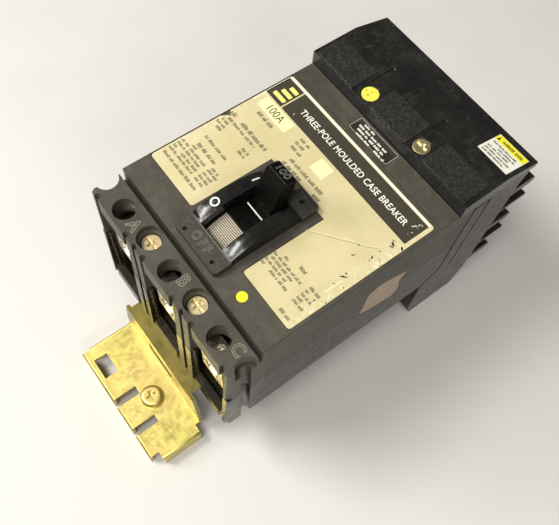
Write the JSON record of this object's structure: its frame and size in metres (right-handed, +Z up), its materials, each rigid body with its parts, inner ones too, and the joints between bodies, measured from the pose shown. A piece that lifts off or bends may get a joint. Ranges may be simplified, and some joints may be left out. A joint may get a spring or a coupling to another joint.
{
  "type": "molded case circuit breaker",
  "caption": "Plug-on moulded case circuit breaker with a toggle handle, screw lugs, stacked bus jaws and a yellow steel mounting bracket.",
  "frame": {"origin": "on the resting plane, under the middle of the overall box", "axes": "+X towards the line end with the bus jaws, +Y towards pole A, +Z up out of the front face with the handle"},
  "size_m": [0.226, 0.106, 0.1445],
  "materials": {
    "case_black": "moulded phenolic, worn satin",
    "cover_grey": "moulded grey plastic, satin",
    "gloss_black": "scuffed gloss black",
    "handle_black": "gloss black",
    "label_cream": "printed cream label",
    "label_brown": "dark printed sticker",
    "label_white": "printed white sticker",
    "seal_remnant": "torn seal",
    "paint_yellow": "paint over a brass head",
    "dot_yellow": "bright dot",
    "zinc_gold": "yellow passivated zinc plate",
    "brass": "bright",
    "copper": "tin-free copper",
    "silver_alloy": "contact silver",
    "steel": "plain steel",
    "bimetal_metal": "rolled bimetal strip",
    "lug_aluminium": "tin-plated aluminium",
    "trip_bar_tan": "moulded insulating bar"
  },
  "bodies": {
    "case": {"arc_chute_a": "steel", "arc_chute_b": "steel", "arc_chute_c": "steel", "armature_brackets": "steel", "base": "case_black", "bimetals": "bimetal_metal", "bracket": "zinc_gold", "bracket_rivets": "steel", "braids": "copper", "cap_screw_a": "paint_yellow", "cap_screw_b": "brass", "caution_sticker": "label_white", "cover": "cover_grey", "cradle": "steel", "cradle_pins": "steel", "escutcheon": "gloss_black", "fixed_contacts": "silver_alloy", "handle_pin": "steel", "jaw_a": "copper", "jaw_b": "copper", "jaw_c": "copper", "jaw_housing": "case_black", "jaw_springs": "steel", "line_cap": "gloss_black", "line_strap_a": "copper", "line_strap_b": "copper", "line_strap_c": "copper", "load_screws": "brass", "load_straps": "copper", "lug_a": "lug_aluminium", "lug_b": "lug_aluminium", "lug_c": "lug_aluminium", "magnet_yokes": "steel", "mechanism_frame": "steel", "nameplate": "label_cream", "seal_dot": "dot_yellow", "side_sticker": "seal_remnant", "strip_sticker": "label_brown"},
    "handle_body": {"handle": "handle_black", "spring_pin": "steel"},
    "shutter_body": {"shutter": "case_black"},
    "crossbar_body": {"crossbar": "case_black", "crank_pin": "steel", "contact_arms": "copper", "moving_contacts": "silver_alloy"},
    "upper_link_body": {"upper_links": "steel", "knee_pin": "steel"},
    "lower_link_body": {"lower_links": "steel"},
    "spring_body": {"toggle_springs": "steel"},
    "trip_bar_body": {"trip_bar": "trip_bar_tan"},
    "bracket_screw_body": {"bracket_screw": "zinc_gold"},
    "armature_body_a": {"armature_a": "steel"},
    "lug_screw_body_a": {"lug_screw_a": "lug_aluminium"},
    "armature_body_b": {"armature_b": "steel"},
    "lug_screw_body_b": {"lug_screw_b": "lug_aluminium"},
    "armature_body_c": {"armature_c": "steel"},
    "lug_screw_body_c": {"lug_screw_c": "lug_aluminium"}
  },
  "joints": [
    {"name": "handle_toggle", "type": "hinge", "parent": "case", "child": "handle_body", "pos_m": [-0.026, 0, 0.0905], "axis": [0, 1, 0], "range_deg": [-36, 0]},
    {"name": "shutter_turn", "type": "hinge", "parent": "case", "child": "shutter_body", "pos_m": [-0.026, 0, 0.0905], "axis": [0, 1, 0], "range_deg": [-18.1, 0]},
    {"name": "crossbar_turn", "type": "hinge", "parent": "case", "child": "crossbar_body", "pos_m": [0.0065, 0, 0.0665], "axis": [0, 1, 0], "range_deg": [-24.2, 0]},
    {"name": "upper_link_turn", "type": "hinge", "parent": "case", "child": "upper_link_body", "pos_m": [-0.0095, 0, 0.0885], "axis": [0, 1, 0], "range_deg": [-24.2, 0]},
    {"name": "lower_link_turn", "type": "hinge", "parent": "crossbar_body", "child": "lower_link_body", "pos_m": [0.02112, 0, 0.05999], "axis": [0, 1, 0], "range_deg": [0, 24.2]},
    {"name": "spring_swing", "type": "hinge", "parent": "handle_body", "child": "spring_body", "pos_m": [-0.02044, 0, 0.10762], "axis": [0, 1, 0], "range_deg": [0, 17.8]},
    {"name": "trip_bar_turn", "type": "hinge", "parent": "case", "child": "trip_bar_body", "pos_m": [-0.0395, 0, 0.0945], "axis": [0, 1, 0], "range_deg": [-12, 0], "stiffness_Nm_per_rad": 0.02, "springref_deg": 1.15},
    {"name": "armature_a_turn", "type": "hinge", "parent": "case", "child": "armature_body_a", "pos_m": [-0.0438, 0.036, 0.0785], "axis": [0, 1, 0], "range_deg": [0, 2.5], "stiffness_Nm_per_rad": 0.02, "springref_deg": -0.57},
    {"name": "armature_b_turn", "type": "hinge", "parent": "case", "child": "armature_body_b", "pos_m": [-0.0438, 0, 0.0785], "axis": [0, 1, 0], "range_deg": [0, 2.5], "stiffness_Nm_per_rad": 0.02, "springref_deg": -0.57},
    {"name": "armature_c_turn", "type": "hinge", "parent": "case", "child": "armature_body_c", "pos_m": [-0.0438, -0.036, 0.0785], "axis": [0, 1, 0], "range_deg": [0, 2.5], "stiffness_Nm_per_rad": 0.02, "springref_deg": -0.57},
    {"name": "lug_screw_a_travel", "type": "slide", "parent": "case", "child": "lug_screw_body_a", "axis": [0, 0, -1], "range_m": [0, 0.009]},
    {"name": "lug_screw_b_travel", "type": "slide", "parent": "case", "child": "lug_screw_body_b", "axis": [0, 0, -1], "range_m": [0, 0.009]},
    {"name": "lug_screw_c_travel", "type": "slide", "parent": "case", "child": "lug_screw_body_c", "axis": [0, 0, -1], "range_m": [0, 0.009]},
    {"name": "bracket_screw_turn", "type": "hinge", "parent": "case", "child": "bracket_screw_body", "pos_m": [-0.0946, -0.0095, 0.0105], "axis": [0, 0, 1], "continuous": true}
  ],
  "couplings": [
    {"joint": "shutter_turn", "follows": "handle_toggle", "ratio": 0.5},
    {"joint": "crossbar_turn", "follows": "handle_toggle", "ratio": 0.66667},
    {"joint": "upper_link_turn", "follows": "handle_toggle", "ratio": 0.66667},
    {"joint": "lower_link_turn", "follows": "handle_toggle", "ratio": -0.66667},
    {"joint": "spring_swing", "follows": "handle_toggle", "ratio": -0.489}
  ]
}
